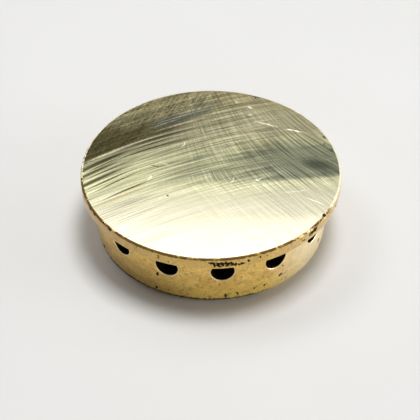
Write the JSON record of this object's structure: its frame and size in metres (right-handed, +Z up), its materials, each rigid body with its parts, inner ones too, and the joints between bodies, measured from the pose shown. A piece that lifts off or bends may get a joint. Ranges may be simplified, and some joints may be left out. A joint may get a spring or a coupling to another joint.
{
  "type": "gas burner cap",
  "caption": "Round brass cap for a gas burner: a flat sanded disc overhanging a hollow skirt with a ring of drilled flame ports.",
  "frame": {"origin": "centre of the foot rim, on the plane the cap stands on", "axes": "+Z up along the axis through the flat disc; -Y towards the first flame port"},
  "size_m": [0.05, 0.05, 0.0132],
  "materials": {
    "brass": "cast and turned brass, sanded flat on top, dull and lightly pitted on the side"
  },
  "bodies": {
    "root": {"burner_cap": "brass"}
  },
  "joints": []
}
